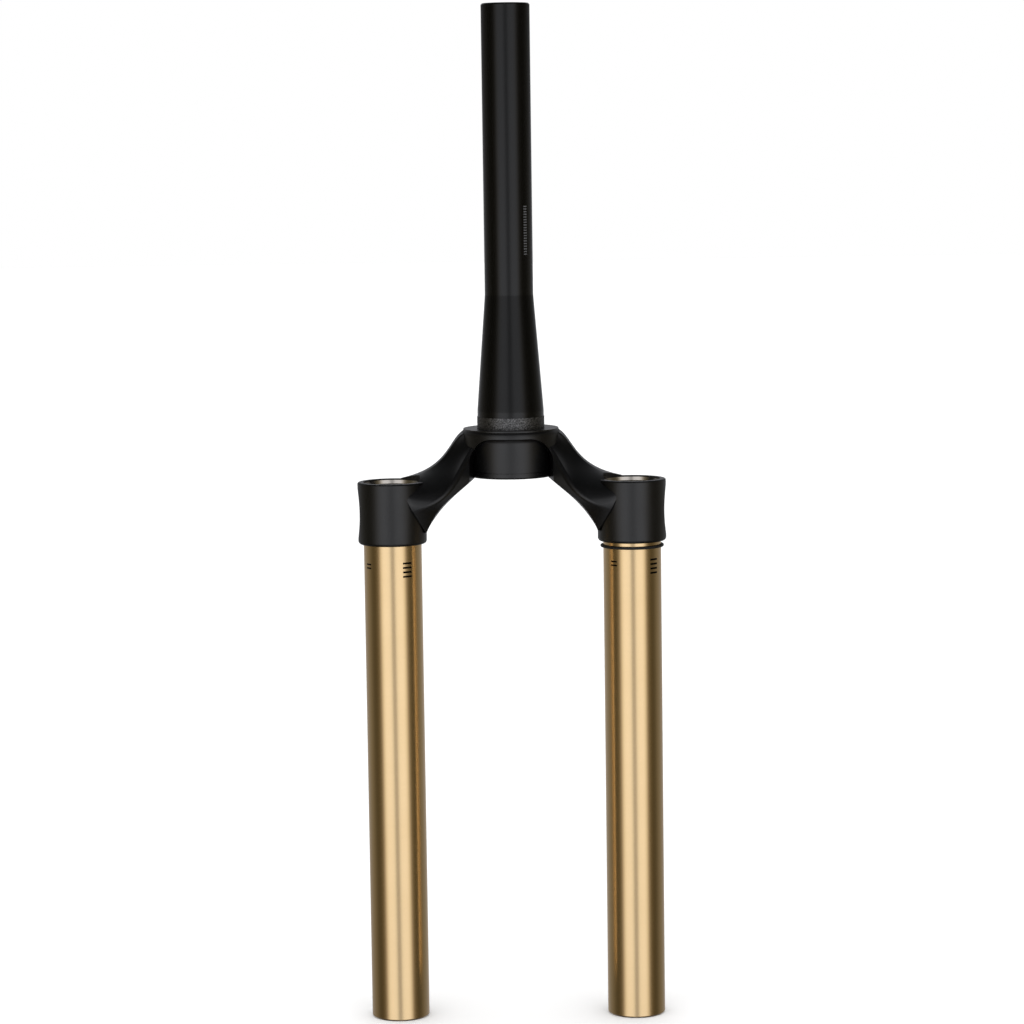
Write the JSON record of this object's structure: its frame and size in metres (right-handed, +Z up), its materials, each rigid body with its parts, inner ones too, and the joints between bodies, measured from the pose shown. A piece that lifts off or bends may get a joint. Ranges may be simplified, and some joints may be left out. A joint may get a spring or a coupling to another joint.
{
  "type": "bicycle suspension fork crown, steerer and upper tube unit",
  "caption": "Crown, steerer and upper tube unit of a bicycle suspension fork: tapered steerer, forged crown, gold upper tubes and a sliding sag ring.",
  "frame": {"origin": "on the steerer axis, in the plane of the crown race seat's shoulder", "axes": "+Z up the steerer, +X to the rider's left, -Y forwards"},
  "size_m": [0.1808, 0.0744, 0.5966],
  "materials": {
    "black_anodised_aluminium": "satin black anodised",
    "satin_black_forging": "satin black anodised forging",
    "gold_anodised_aluminium": "polished hard-anodised gold",
    "black_rubber": "matte"
  },
  "bodies": {
    "steerer_unit": {"steerer_tube": "black_anodised_aluminium", "crown": "satin_black_forging", "upper_tube_left": "gold_anodised_aluminium", "upper_tube_right": "gold_anodised_aluminium"},
    "sag_ring": {"sag_o_ring": "black_rubber"}
  },
  "joints": [
    {"name": "sag_ring_slide", "type": "slide", "parent": "steerer_unit", "child": "sag_ring", "axis": [0, 0, -1], "range_m": [-0.0018, 0.277]}
  ]
}
